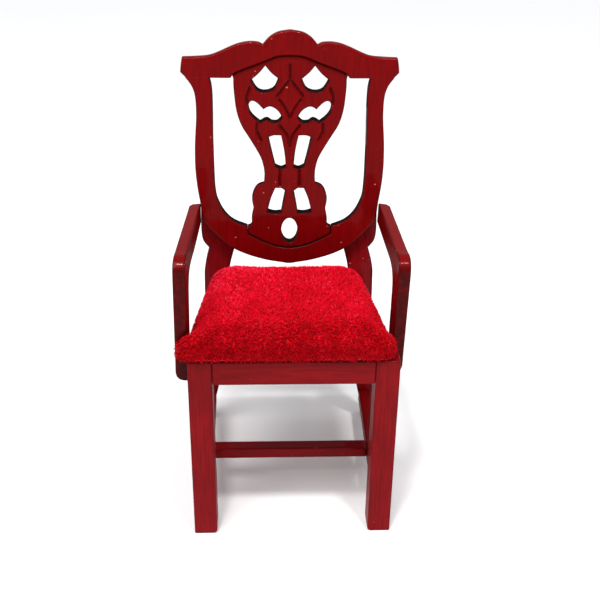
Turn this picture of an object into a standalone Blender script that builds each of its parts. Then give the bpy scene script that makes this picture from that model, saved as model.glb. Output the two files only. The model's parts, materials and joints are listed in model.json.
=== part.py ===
"""Miniature carver armchair: four fixed legs, a pierced splat in a shield frame, a plush seat.

Lengths are in millimetres and angles in degrees. add_object turns millimetres into metres.
X runs across the chair, Y from front to back, Z up. While modelling, y = 0 is the front face of
the front legs; shift_origin then moves everything back to front, so that the origin is the middle of
the footprint's depth. The origin stays on the legs' centre plane from side to side.
"""
import math

import bmesh
import bpy
from mathutils import Matrix, Vector

MM = 0.001

# Overall sizes
HEIGHT = 96.0
FRONT_WIDTH = 41.0
RAIL_TOP = 41.2
RAIL_HEIGHT = 5.0
BACK_Y = 37.0
BACK_RAKE = 3.5

# Joints
GLUE_LINE = 0.05
STUB_LENGTH = 1.0
STUB_SHOULDER = 0.55

# Front legs, rails and stretchers
LEG_WIDTH = 4.7
LEG_DEPTH = 5.0
FOOT_CHAMFER = 0.5
RAIL_THICKNESS = 2.6
SIDE_RAIL_SET_IN = 1.3
SIDE_RAIL_DRAW_IN = 2.1
# The side rails run at a slant, so their square ends need a little more room than a glue line
SLANTED_END_GAP = 0.07
STRETCHER_WIDTH = 2.5
STRETCHER_HEIGHT = 2.6
STRETCHER_TOP = 8.9
STRETCHER_SPREAD = 0.75
CROSS_STRETCHER_Y = 19.0
CROSS_STRETCHER_WIDTH = 3.1

# Back: a shield frame with the splat in it, a crest rail on top, posts lapped on behind
FRAME_THICKNESS = 2.4
SPLAT_RECESS = 0.6
STILE_TOP = 86.5
POST_THICKNESS = 2.8
POST_INNER = 13.9
POST_TOP = 57.5
REAR_LEG_SWEEP = 4.0

# Arms, sawn from one board each and glued on by eye, so they differ. The left one is glued to the
# front leg's outer side; the right one stands behind its leg, on the side rail.
ARM_THICKNESS = 2.4
ARM_INNER_X = {"left": 20.6, "right": 19.4}
ARM_FRONT_Y = {"left": 2.8, "right": 5.15}
ARM_TOP = {"left": 60.8, "right": 59.9}
ARM_LEAN = {"left": 1.0, "right": -1.2}
ARM_TOE_IN = {"left": 1.1, "right": 0.0}
ARM_BOTTOM = 35.6
ARM_END_TOP = 59.0
ARM_END_BOTTOM = 54.5
ARM_FOOT_CHAMFER = 1.6
ARM_END_CHAMFER = 1.9

# Seat
SEAT_FRONT_Y = -0.9
SEAT_BACK_Y = 35.6
SEAT_FRONT_HALF = 19.6
SEAT_BACK_HALF = 16.0
SEAT_OFFSET_X = -0.8
SEAT_FRONT_CORNER = 2.6
SEAT_BACK_CORNER = 6.0
SEAT_CORNER_LEAST = 0.8
SEAT_CORNER_STEPS = 7
SEAT_FLOOR_INSET = 0.7
SEAT_LEVEL_GAP = 0.3
COVER_THICKNESS = 0.4
BOARD_THICKNESS = 1.0

HALF_FRONT = FRONT_WIDTH / 2
RAKE = math.radians(BACK_RAKE)
POST_FRONT = FRAME_THICKNESS + GLUE_LINE
# Height measured up the raked back at which the crest reaches HEIGHT above the floor.
CREST_TOP = RAIL_TOP + (HEIGHT - RAIL_TOP) / math.cos(RAKE)
LACQUER = ("red_lacquered_wood", (0.262, 0.004, 0.008), 0.3)
PLUSH = ("red_plush", (0.58, 0.002, 0.012), 0.95)
FOAM = ("seat_foam", (0.82, 0.76, 0.60), 0.9)
FIBREBOARD = ("seat_fibreboard", (0.30, 0.17, 0.09), 0.8)


def clear_scene():
    """Start from an empty file."""
    for old in list(bpy.data.objects):
        bpy.data.objects.remove(old)


def material(name, colour, roughness):
    """One Principled material, made the first time its name is asked for."""
    found = bpy.data.materials.get(name)
    if found:
        return found
    made = bpy.data.materials.new(name)
    made.use_nodes = True
    shader = made.node_tree.nodes["Principled BSDF"]
    shader.inputs["Base Color"].default_value = (*colour, 1.0)
    shader.inputs["Roughness"].default_value = roughness
    shader.inputs["Metallic"].default_value = 0.0
    return made


def add_object(name, bm, finish):
    """Close a bmesh given in millimetres into an object in metres."""
    bmesh.ops.recalc_face_normals(bm, faces=bm.faces)
    bmesh.ops.scale(bm, vec=(MM, MM, MM), verts=bm.verts)
    mesh = bpy.data.meshes.new(name)
    bm.to_mesh(mesh)
    bm.free()
    thing = bpy.data.objects.new(name, mesh)
    thing.data.materials.append(material(*finish))
    bpy.context.collection.objects.link(thing)
    return thing


def cut(thing, cutter):
    """Take the cutter out of a piece."""
    cutter.hide_render = True
    cutter.display_type = "WIRE"
    modifier = thing.modifiers.new("socket", "BOOLEAN")
    modifier.operation = "DIFFERENCE"
    modifier.solver = "EXACT"
    modifier.object = cutter


def smooth(points, steps=4):
    """A Catmull-Rom curve through a few points, open at both ends."""
    ends = [points[0]] + list(points) + [points[-1]]
    out = []
    for a, b, c, d in zip(ends, ends[1:], ends[2:], ends[3:]):
        for step in range(steps):
            t = step / steps
            out.append(tuple(
                0.5 * (2 * q + (r - p) * t + (2 * p - 5 * q + 4 * r - s) * t * t
                       + (3 * q - p - 3 * r + s) * t ** 3)
                for p, q, r, s in zip(a, b, c, d)))
    out.append(tuple(points[-1]))
    return out


def stretches(*parts):
    """Join smooth stretches that meet in corners into one closed outline."""
    outline = []
    for part in parts:
        outline += part[:-1]
    return outline


def mirrored(half):
    """Close an outline from its right half, which starts and ends on the centre line."""
    return half + [(-x, z) for x, z in reversed(half[1:-1])]


def board(name, outline, front, back, finish, holes=()):
    """A board in the plane of x and z, between two depths, with holes sawn through it."""
    bm = bmesh.new()
    edges = []
    for loop in (outline, *holes):
        verts = [bm.verts.new((x, front, z)) for x, z in loop]
        edges += [bm.edges.new(pair) for pair in zip(verts, verts[1:] + verts[:1])]
    filled = bmesh.ops.triangle_fill(bm, edges=edges, use_beauty=True, normal=(0, -1, 0))
    faces = [item for item in filled["geom"] if isinstance(item, bmesh.types.BMFace)]
    grown = bmesh.ops.extrude_face_region(bm, geom=faces)["geom"]
    far_side = [item for item in grown if isinstance(item, bmesh.types.BMVert)]
    bmesh.ops.translate(bm, vec=(0, back - front, 0), verts=far_side)
    return add_object(name, bm, finish)


def lean_back(thing):
    """Tip a board of the back by its rake, about the top of the rails."""
    pivot = Matrix.Translation(Vector((0, BACK_Y, RAIL_TOP)) * MM)
    upright = Matrix.Translation(Vector((0, 0, -RAIL_TOP)) * MM)
    thing.matrix_world = pivot @ Matrix.Rotation(-RAKE, 4, "X") @ upright


def stack(rings, close_bottom=True):
    """A solid skinned over rings that all have the same number of points."""
    bm = bmesh.new()
    loops = [[bm.verts.new(point) for point in ring] for ring in rings]
    for low, high in zip(loops, loops[1:]):
        for i in range(len(low)):
            j = (i + 1) % len(low)
            bm.faces.new((low[i], low[j], high[j], high[i]))
    if close_bottom:
        bm.faces.new(loops[0])
    bm.faces.new(loops[-1])
    return bm


def bar_mesh(length, width, height, stub):
    """A bar along x, its middle at the origin, with a smaller stub on each end."""
    bm = bmesh.new()
    bmesh.ops.create_cube(bm, size=1.0)
    bmesh.ops.scale(bm, vec=(length, width, height), verts=bm.verts)
    if stub:
        for side in (-1, 1):
            end = [face for face in bm.faces if face.normal.x * side > 0.9]
            bmesh.ops.inset_individual(bm, faces=end, thickness=STUB_SHOULDER, use_even_offset=True)
            pushed = bmesh.ops.extrude_discrete_faces(bm, faces=end)["faces"]
            verts = [vert for face in pushed for vert in face.verts]
            bmesh.ops.translate(bm, vec=(side * stub, 0, 0), verts=verts)
    return bm


def between(start, end):
    """The place of a bar that runs from one point to another."""
    start, end = Vector(start), Vector(end)
    run = end - start
    turn = run.to_track_quat("X", "Z").to_matrix().to_4x4()
    return Matrix.Translation((start + end) / 2 * MM) @ turn, run.length


def bar(name, start, end, width, height, holders):
    """A bar whose stubs sit in sockets cut in the pieces that hold it."""
    place, run = between(start, end)
    length = run - 2 * GLUE_LINE
    made = add_object(name, bar_mesh(length, width, height, STUB_LENGTH), LACQUER)
    made.matrix_world = place
    clear = 2 * GLUE_LINE
    reach = length + 2 * STUB_LENGTH + clear
    socket = bar_mesh(reach, width - 2 * STUB_SHOULDER + clear, height - 2 * STUB_SHOULDER + clear, 0)
    cutter = add_object(name + "_socket", socket, LACQUER)
    cutter.matrix_world = place
    for holder in holders:
        cut(holder, cutter)
    return made


def front_leg(name, side):
    """A straight square leg, its inner foot edge eased."""
    inner = HALF_FRONT - LEG_WIDTH
    outline = [
        (side * HALF_FRONT, 0.0),
        (side * HALF_FRONT, RAIL_TOP),
        (side * inner, RAIL_TOP),
        (side * inner, FOOT_CHAMFER),
        (side * (inner + FOOT_CHAMFER), 0.0),
    ]
    return board(name, outline, 0.0, LEG_DEPTH, LACQUER)


def post_front(z):
    """Front face of a rear post: raked above the seat, swept back below it."""
    if z >= RAIL_TOP:
        return BACK_Y + POST_FRONT / math.cos(RAKE) + (z - RAIL_TOP) * math.tan(RAKE)
    drop = (RAIL_TOP - z) / RAIL_TOP
    return BACK_Y + POST_FRONT / math.cos(RAKE) + REAR_LEG_SWEEP * drop * drop


def back_post(name, side):
    """Rear leg and shaped bracket in one piece, lapped on the back of the shield frame."""
    leg_outer = [(22.6, 0.0), (20.6, 13.0), (19.6, 28.0), (19.3, RAIL_TOP)]
    bracket_outer = [(19.3, RAIL_TOP), (19.2, 43.2), (18.7, 45.8), (18.0, 48.2)]
    shoulder_outer = [(18.0, 48.2), (19.3, 49.9), (19.7, 52.5), (19.6, POST_TOP)]
    leg_inner = [(19.3, 0.0), (17.8, 7.0), (16.6, 13.0), (15.0, 26.0), (POST_INNER, RAIL_TOP - RAIL_HEIGHT)]
    bracket_inner = [(POST_INNER, RAIL_TOP), (13.3, 44.6), (12.4, 48.0)]
    lap_inner = [(12.4, 48.0), (14.2, 52.4), (16.6, POST_TOP)]
    outer = smooth(leg_outer)[:-1] + smooth(bracket_outer)[:-1] + smooth(shoulder_outer)
    inner = smooth(leg_inner) + smooth(bracket_inner)[:-1] + smooth(lap_inner)
    heights = sorted({round(z, 3) for x, z in outer + inner})
    rings = []
    for z in heights:
        near, far = x_at(inner, z), x_at(outer, z)
        y = post_front(z)
        rings.append([
            (side * near, y, z),
            (side * far, y, z),
            (side * far, y + POST_THICKNESS, z),
            (side * near, y + POST_THICKNESS, z),
        ])
    return add_object(name, stack(rings), LACQUER)


def x_at(line, z):
    """Where a line of (x, z) points that rises in z stands at one height."""
    for (x0, z0), (x1, z1) in zip(line, line[1:]):
        if z <= z1:
            return x0 + (x1 - x0) * (z - z0) / (z1 - z0)
    return line[-1][0]


def beside(line, gap):
    """A line parallel to another, on its left; its first point stays on the centre line."""
    out = []
    for i, (x, z) in enumerate(line):
        (x0, z0), (x1, z1) = line[max(i - 1, 0)], line[min(i + 1, len(line) - 1)]
        run = math.dist((x0, z0), (x1, z1))
        out.append((x - gap * (z1 - z0) / run, z + gap * (x1 - x0) / run))
    out[0] = (line[0][0], out[0][1])
    return out


def arch_line():
    """Right half of the seam between the crest rail and the splat, from the centre outwards."""
    crown = [(0.0, 91.0), (2.7, 90.8), (5.6, 89.7), (9.1, 88.4)]
    shoulder = [(9.1, 88.4), (11.2, 87.6), (12.1, 86.9)]
    return smooth(crown)[:-1] + smooth(shoulder)


def foot_line():
    """Right half of the seam between the splat's foot and the shield frame."""
    return smooth([(0.0, 49.0), (3.2, 49.5), (6.4, 50.8), (9.2, 52.3)])[:-1] + [(9.2, 52.3), (9.3, 53.9)]


def shield_frame():
    """Stiles that flare at the top and run round into the curved bottom rail, in one board."""
    outer = smooth([(0.0, 45.4), (5.0, 46.2), (10.1, 47.8), (13.8, 50.0), (18.6, 55.2), (19.6, 59.8),
                    (20.3, 65.5), (20.35, 71.5), (19.85, 78.5), (19.95, 82.6), (20.6, 84.8),
                    (21.8, STILE_TOP)])
    inner = smooth([(16.85, STILE_TOP), (16.35, 83.0), (16.4, 71.5), (16.2, 62.5), (15.4, 59.3),
                    (14.1, 57.0), (12.2, 55.3), (9.3, 54.1)])
    half = outer + inner + list(reversed(foot_line()))
    made = board("shield_frame", mirrored(half), 0.0, FRAME_THICKNESS, LACQUER)
    lean_back(made)


def crest_rail():
    """Serpentine top rail with square ears, its face level with the stiles."""
    seam_z = STILE_TOP + GLUE_LINE
    top = stretches(
        smooth([(0.0, CREST_TOP), (2.5, 95.7), (4.3, 94.7), (5.7, 93.2)]),
        smooth([(5.7, 93.2), (6.7, 93.65), (8.6, 93.75), (10.6, 93.4), (12.5, 92.7), (14.8, 91.7),
                (17.3, 90.9), (22.4, 90.6)]),
        smooth([(22.4, 90.6), (22.7, 89.0), (22.85, 87.6)], 3),
        [(22.85, 87.6), (21.8, seam_z)])
    seam = [(21.8, seam_z), (12.4, seam_z)]
    half = top + seam + list(reversed(arch_line()))
    made = board("crest_rail", mirrored(half), 0.0, FRAME_THICKNESS, LACQUER)
    lean_back(made)


def fan_hole():
    """Three-cornered opening with hollow shoulders and a full bottom, right of the centre."""
    return stretches(
        smooth([(2.4, 86.2), (3.4, 84.1), (5.2, 83.4), (6.9, 83.9), (8.2, 85.95)]),
        smooth([(8.2, 85.95), (6.5, 87.4), (5.2, 88.9)]),
        smooth([(5.2, 88.9), (4.0, 87.5), (2.4, 86.2)]))


def wing_hole():
    """Leaf-shaped opening with a cusp above and below, right of the centre."""
    return stretches(
        smooth([(1.6, 78.1), (2.7, 77.05), (3.9, 77.05)]),
        smooth([(3.9, 77.05), (4.8, 77.6), (5.6, 77.4), (6.3, 76.95)]),
        smooth([(6.3, 76.95), (7.6, 78.0), (8.5, 79.2), (8.75, 80.7), (8.2, 81.6), (7.1, 81.3),
                (5.6, 79.85)]),
        smooth([(5.6, 79.85), (4.8, 80.35), (3.9, 80.4), (2.6, 79.6), (1.6, 78.1)]))


def upper_slot():
    """Upper slot, which narrows downwards."""
    return stretches(
        smooth([(0.85, 67.4), (1.9, 66.95), (3.1, 67.5)], 2),
        smooth([(3.1, 67.5), (3.8, 70.3), (4.6, 73.9)]),
        smooth([(4.6, 73.9), (3.5, 74.3), (1.9, 74.3)], 2),
        smooth([(1.9, 74.3), (1.2, 70.9), (0.85, 67.4)]))


def lower_slot():
    """Lower slot, which spreads downwards."""
    return stretches(
        smooth([(1.85, 57.0), (3.4, 56.9), (4.85, 57.3)], 2),
        smooth([(4.85, 57.3), (4.1, 60.3), (3.1, 62.7)], 3),
        [(3.1, 62.7), (1.8, 62.7), (0.9, 62.05)],
        smooth([(0.9, 62.05), (1.35, 59.8), (1.85, 57.0)], 3))


def oval_hole(steps=20):
    """Upright oval in the foot of the splat."""
    turns = [2 * math.pi * step / steps for step in range(steps)]
    return [(1.8 * math.cos(turn), 53.0 + 2.85 * math.sin(turn)) for turn in turns]


def splat():
    """Pierced splat, set back a little between the crest rail and the shield frame's bottom rail."""
    side = stretches(
        smooth([(9.2, 54.0), (8.4, 54.5), (8.35, 56.0), (7.95, 58.2)], 3),
        smooth([(7.95, 58.2), (8.25, 60.4), (7.8, 62.2), (6.9, 63.4), (5.6, 63.9)]),
        smooth([(5.6, 63.9), (5.5, 65.9), (5.75, 67.8), (6.5, 70.0), (8.8, 73.9), (10.4, 76.6), (11.4, 79.8),
                (11.85, 84.0), (11.9, 86.6)]))
    half = beside(foot_line(), GLUE_LINE) + side + list(reversed(beside(arch_line(), -GLUE_LINE)))
    holes = [oval_hole()]
    for hole in (fan_hole(), wing_hole(), upper_slot(), lower_slot()):
        holes += [hole, [(-x, z) for x, z in hole]]
    made = board("splat", mirrored(half), SPLAT_RECESS, FRAME_THICKNESS, LACQUER, holes)
    lean_back(made)


def arm(word, side):
    """L-shaped arm: a post, a rounded bend and an almost straight run back to the stile."""
    front, top = ARM_FRONT_Y[word], ARM_TOP[word]
    back = BACK_Y + FRAME_THICKNESS
    outline = stretches(
        [(front, ARM_BOTTOM), (front, top - 3.6)],
        smooth([(front, top - 3.6), (front + 0.5, top - 1.2), (front + 2.8, top), (front + 9.2, top - 0.4),
                (back, ARM_END_TOP)]),
        [(back, ARM_END_TOP), (back, ARM_END_BOTTOM)],
        smooth([(back, ARM_END_BOTTOM), (24.0, 54.9), (front + 9.8, top - 5.2), (front + 6.8, top - 7.2),
                (front + 6.2, top - 10.8)]),
        smooth([(front + 6.2, top - 10.8), (front + 5.8, 42.0), (front + 5.4, ARM_BOTTOM)], 2),
        [(front + 5.4, ARM_BOTTOM), (front, ARM_BOTTOM)])
    bm = bmesh.new()
    face = bm.faces.new([bm.verts.new((0, y, z - RAIL_TOP)) for y, z in outline])
    grown = bmesh.ops.extrude_face_region(bm, geom=[face])["geom"]
    outside = [item for item in grown if isinstance(item, bmesh.types.BMVert)]
    bmesh.ops.translate(bm, vec=(side * ARM_THICKNESS, 0, 0), verts=outside)
    foot = min(vert.co.z for vert in outside)
    end = max(vert.co.y for vert in outside)
    foot_edges = edges_between(bm, [vert for vert in outside if vert.co.z == foot])
    end_edges = edges_between(bm, [vert for vert in outside if vert.co.y == end])
    bmesh.ops.bevel(bm, geom=foot_edges, offset=ARM_FOOT_CHAMFER, segments=3, affect="EDGES", profile=0.5)
    bmesh.ops.bevel(bm, geom=end_edges, offset=ARM_END_CHAMFER, segments=2, affect="EDGES", profile=0.5)
    made = add_object("arm_" + word, bm, LACQUER)
    made.location = Vector((side * ARM_INNER_X[word], 0, RAIL_TOP)) * MM
    made.rotation_euler.y = -side * math.radians(ARM_LEAN[word])
    made.rotation_euler.z = side * math.radians(ARM_TOE_IN[word])


def edges_between(bm, verts):
    """The edges whose two ends are both among some vertices."""
    return [edge for edge in bm.edges if all(vert in verts for vert in edge.verts)]


def seat_plan(inset, z):
    """One level of the seat: a rounded trapezoid, drawn in by an inset."""
    front, back = SEAT_FRONT_Y + inset, SEAT_BACK_Y - inset
    slope = (SEAT_FRONT_HALF - SEAT_BACK_HALF) / (SEAT_BACK_Y - SEAT_FRONT_Y)
    ring = []
    for x_sign, y, start in ((1, front, 270), (1, back, 0), (-1, back, 90), (-1, front, 180)):
        half = SEAT_FRONT_HALF - slope * (y - SEAT_FRONT_Y) - inset
        inwards, corner = (1, SEAT_FRONT_CORNER) if y == front else (-1, SEAT_BACK_CORNER)
        radius = max(corner - inset, SEAT_CORNER_LEAST)
        centre = (x_sign * (half - radius) + SEAT_OFFSET_X, y + inwards * radius)
        for step in range(SEAT_CORNER_STEPS):
            turn = math.radians(start + 90 * step / (SEAT_CORNER_STEPS - 1))
            ring.append((centre[0] + radius * math.cos(turn), centre[1] + radius * math.sin(turn), z))
    return ring


def crowned(shrink, floor):
    """Levels of the padded seat from its floor up over the crown, thinned all round by shrink."""
    levels = [(0.5, 42.0), (0.05, 43.0), (0.0, 43.9), (0.5, 45.0), (1.7, 45.9), (4.5, 46.5), (9.0, 46.9)]
    rings = [seat_plan(SEAT_FLOOR_INSET + shrink, floor)]
    rings += [seat_plan(inset + shrink, z - shrink) for inset, z in levels
              if z - shrink > floor + SEAT_LEVEL_GAP]
    return rings


def seat():
    """Fibreboard, a foam pad on it and a plush cover drawn over both."""
    bottom = RAIL_TOP + GLUE_LINE
    board_inset = SEAT_FLOOR_INSET + COVER_THICKNESS + GLUE_LINE
    board_rings = [seat_plan(board_inset, z) for z in (bottom, bottom + BOARD_THICKNESS)]
    add_object("seat_board", stack(board_rings), FIBREBOARD)
    foam_floor = bottom + BOARD_THICKNESS + GLUE_LINE
    add_object("seat_foam", stack(crowned(COVER_THICKNESS + 2 * GLUE_LINE, foam_floor)), FOAM)
    outside = crowned(0.0, bottom)
    inside = crowned(COVER_THICKNESS, bottom)
    bm = stack(outside, close_bottom=False)
    line_inside(bm, len(outside[0]), inside)
    add_object("seat_cover", bm, PLUSH)


def line_inside(bm, count, rings):
    """Line an open shell with an inner skin, joined to the shell's first ring of count points."""
    bm.verts.ensure_lookup_table()
    loops = [bm.verts[:count]] + [[bm.verts.new(point) for point in ring] for ring in rings]
    for low, high in zip(loops, loops[1:]):
        for i in range(count):
            j = (i + 1) % count
            bm.faces.new((low[j], low[i], high[i], high[j]))
    bm.faces.new(list(reversed(loops[-1])))


def shift_origin():
    """Move the origin from the front legs' face to the centre of the footprint."""
    rear = post_front(0.0) + POST_THICKNESS
    middle = (SEAT_FRONT_Y + rear) / 2
    bpy.context.view_layer.update()
    for thing in bpy.data.objects:
        thing.matrix_world = Matrix.Translation(Vector((0, -middle, 0)) * MM) @ thing.matrix_world


def build_chair():
    """Make every piece."""
    clear_scene()
    rail_z = RAIL_TOP - RAIL_HEIGHT / 2
    stretcher_z = STRETCHER_TOP - STRETCHER_HEIGHT / 2
    leg_inner = HALF_FRONT - LEG_WIDTH
    legs, posts, side_stretchers = [], [], []
    for word, side in (("left", -1), ("right", 1)):
        leg = front_leg("front_leg_" + word, side)
        post = back_post("back_post_" + word, side)
        arm(word, side)
        rail_start = HALF_FRONT - SIDE_RAIL_SET_IN - RAIL_THICKNESS / 2
        rail_end = rail_start - SIDE_RAIL_DRAW_IN
        bar("side_rail_" + word, (side * rail_start, LEG_DEPTH + SLANTED_END_GAP, rail_z),
            (side * rail_end, post_front(RAIL_TOP) - SLANTED_END_GAP, rail_z),
            RAIL_THICKNESS, RAIL_HEIGHT, (leg, post))
        middle = HALF_FRONT - LEG_WIDTH / 2
        side_stretchers.append(bar(
            "side_stretcher_" + word, (side * middle, LEG_DEPTH, stretcher_z),
            (side * (middle + STRETCHER_SPREAD), post_front(STRETCHER_TOP), stretcher_z),
            STRETCHER_WIDTH, STRETCHER_HEIGHT, (leg, post)))
        legs.append(leg)
        posts.append(post)
    bar("front_rail", (-leg_inner, RAIL_THICKNESS / 2, rail_z), (leg_inner, RAIL_THICKNESS / 2, rail_z),
        RAIL_THICKNESS, RAIL_HEIGHT, legs)
    back_rail_y = post_front(RAIL_TOP) + POST_THICKNESS / 2
    bar("back_rail", (-POST_INNER, back_rail_y, rail_z), (POST_INNER, back_rail_y, rail_z),
        RAIL_THICKNESS, RAIL_HEIGHT, posts)
    along = (CROSS_STRETCHER_Y - LEG_DEPTH) / (post_front(STRETCHER_TOP) - LEG_DEPTH)
    reach = middle + STRETCHER_SPREAD * along - STRETCHER_WIDTH / 2
    bar("cross_stretcher", (-reach, CROSS_STRETCHER_Y, stretcher_z), (reach, CROSS_STRETCHER_Y, stretcher_z),
        CROSS_STRETCHER_WIDTH, STRETCHER_HEIGHT - 2 * GLUE_LINE, side_stretchers)
    shield_frame()
    crest_rail()
    splat()
    seat()
    shift_origin()


build_chair()
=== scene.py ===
"""Looks of the miniature carver armchair: carved and lacquered wood, and a plush padded seat.

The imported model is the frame. Each wooden node is rebuilt with eased arrises, carving and dark sawn
edges, and the seat's solids are replaced by a simulated cushion with a pile of small tufts.
Lengths are written in millimetres and multiplied by MM, because the frame is in metres.
"""
import json
import math

import bmesh
import bpy
import numpy as np
from mathutils import Matrix, Vector, bvhtree, geometry, noise

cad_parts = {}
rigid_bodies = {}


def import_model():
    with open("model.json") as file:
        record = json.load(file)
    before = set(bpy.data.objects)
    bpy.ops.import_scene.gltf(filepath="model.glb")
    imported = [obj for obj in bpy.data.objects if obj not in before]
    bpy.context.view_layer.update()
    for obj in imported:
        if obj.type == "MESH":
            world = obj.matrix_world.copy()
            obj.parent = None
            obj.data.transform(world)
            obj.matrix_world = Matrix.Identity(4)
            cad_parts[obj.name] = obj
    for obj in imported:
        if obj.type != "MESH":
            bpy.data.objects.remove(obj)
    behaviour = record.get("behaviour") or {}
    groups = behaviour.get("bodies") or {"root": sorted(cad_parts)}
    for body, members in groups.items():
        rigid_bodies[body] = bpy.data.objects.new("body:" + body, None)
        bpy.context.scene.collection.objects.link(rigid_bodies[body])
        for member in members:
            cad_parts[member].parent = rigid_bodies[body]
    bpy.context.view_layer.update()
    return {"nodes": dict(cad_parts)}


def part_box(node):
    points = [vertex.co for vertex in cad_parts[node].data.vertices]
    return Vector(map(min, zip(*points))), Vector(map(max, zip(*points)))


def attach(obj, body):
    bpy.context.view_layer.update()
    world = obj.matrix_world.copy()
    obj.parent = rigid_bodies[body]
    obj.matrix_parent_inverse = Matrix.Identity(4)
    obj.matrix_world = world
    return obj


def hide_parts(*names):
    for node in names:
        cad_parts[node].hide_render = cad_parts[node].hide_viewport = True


for old in list(bpy.data.objects):
    bpy.data.objects.remove(old)
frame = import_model()

MM = 0.001
WELD = 0.002 * MM
TINY = 1e-12
TINY_SQUARE = 1e-18
CHUNK = 3000
NOISE_SEED = 7
BODY = "root"

# Camera, at the photograph's angle: pitch is down, yaw is to the right
CAMERA_PLACE = Vector((-5.59, -171.73, 127.65)) * MM
CAMERA_PITCH = 26.13
CAMERA_YAW = 2.50
CAMERA_ROLL = 0.78
CAMERA_LENS = 54.08

# Light: a soft sky, a broad sun and two small lamps, in Blender's own units of strength
SKY_STRENGTH = 0.58
SUN_STRENGTH = 1.6
SUN_SPREAD = math.radians(28)
SUN_RUN = Vector((0.26, 0.34, -0.90))
LAMP_AIM = Vector((0, 0, 45)) * MM
FLOOR_REACH = 3.0
FLOOR_DROP = 0.05 * MM

# Wood; each red is a pair, plain and browned
DEEP_RED = [(0.132, 0.0003, 0.0007), (0.150, 0.0023, 0.0039)]
BRIGHT_RED = [(0.180, 0.0004, 0.0011), (0.220, 0.0034, 0.0061)]
CLOUDED_RED = (0.105, 0.0004, 0.0010)
SPECK = (0.50, 0.12, 0.10)
# Near-black of scorched sawn edges, also used as painted shade on the arms' front faces
SCORCH_AND_SHADE = (0.010, 0.0008, 0.0010)
ARRIS = 0.24 * MM
ARRIS_SEGMENTS = 3
GRID = 0.55 * MM
SHARP = math.radians(35)
WAVER = 0.018 * MM
WAVER_PER_METRE = 420.0
BURN_START = 0.3 * ARRIS
BURN_REACH = 0.22 * MM
# Painted shade on the arms' faces that look forwards, full where a face looks straight forwards
ARM_FRONT_PAINTED_SHADE = 0.72
PAINTED_SHADE_STARTS_FACING = 0.75
PAINTED_SHADE_FULL_FACING = 0.95

# Carved boards of the back
OUTLINE_STEP = 0.16 * MM
OUTLINE_CORNER = math.radians(27)
INSIDE_STEP = 0.42 * MM
ROW_RATIO = 0.87
RINGS = np.array([0.05, 0.12, 0.21, 0.33, 0.5]) * MM
GROOVE_RINGS = np.array([0.0, 0.13, 0.26, 0.40, 0.56]) * MM
POINT_CELL = 0.1 * MM
OUTLINE_MARGIN = 0.035 * MM
TRIANGULATION_SCALE = 1000.0
TRIANGULATION_WELD = 1e-5
GROOVE_HALF = 0.50 * MM
GROOVE_DEPTH = 0.42 * MM
GROOVE_DARKENING = 0.85
WALL_ROWS = 4
SEAM_REACH = 0.1 * MM
SEAM_OVERLAP = 0.055 * MM
CREST_ARRIS = 0.5 * MM
# The holes were sawn at a slant, so that they stand higher at the back of the board
HOLE_RISE = 0.45 * MM
HOLE_RISE_REACH = 1.5 * MM
HOLE_RISE_MARGIN = 0.6 * MM

# Seat: the cushion is simulated ten times larger, at a size that suits Blender's cloth
SIM_SCALE = 10.0
SIM_VOXEL = 6.5 * MM
SIM_FRAMES = 20
SIM_PRESSURE = 4.0
SIM_LIMIT = 0.7 * MM
SIM_START_INSET = 0.35 * MM
CLEARANCE = 0.05 * MM
RIM_GAP = 0.02 * MM
RIM_WIDTH = 0.7 * MM
CORNER_PUSH = 0.75 * MM
CORNER_REACH = 5.0 * MM
LEFT_CORNER_SPILL = 1.7 * MM
SPILL_STARTS = 1.0 * MM
SPREAD_AT_FRONT = 0.7 * MM
SPREAD_AT_BACK = 1.6 * MM
SEAT_TAPER = 0.15
LUMP_HEIGHT = 0.09 * MM
LUMPS_PER_METRE = 330.0
NEAR_NEIGHBOURS = 14.0 * MM

# Pile of the plush
CLUMP_SIZE = 0.62 * MM
CLUMP_LEAN = 0.6
STRAY_LEAN = 0.22
HANG = 0.55
PILE_SEED = 11
PILE_TUFTS = 52000
PILE_HEIGHT = 0.72 * MM
PILE_HALF_WIDTH = 0.08 * MM
ROOT_DEPTH = 0.04 * MM
WAIST_HEIGHT = 0.6
WAIST_WIDTH = 0.85
TUFT_BOW = 0.12
TUFT_SIDES = 3
DRIFT_PER_METRE = 160.0
SHADE_STEPS = [-0.38, 0.08, 0.46]
PILE_PARTS = ("front", "middle", "back")


# Materials

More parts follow.
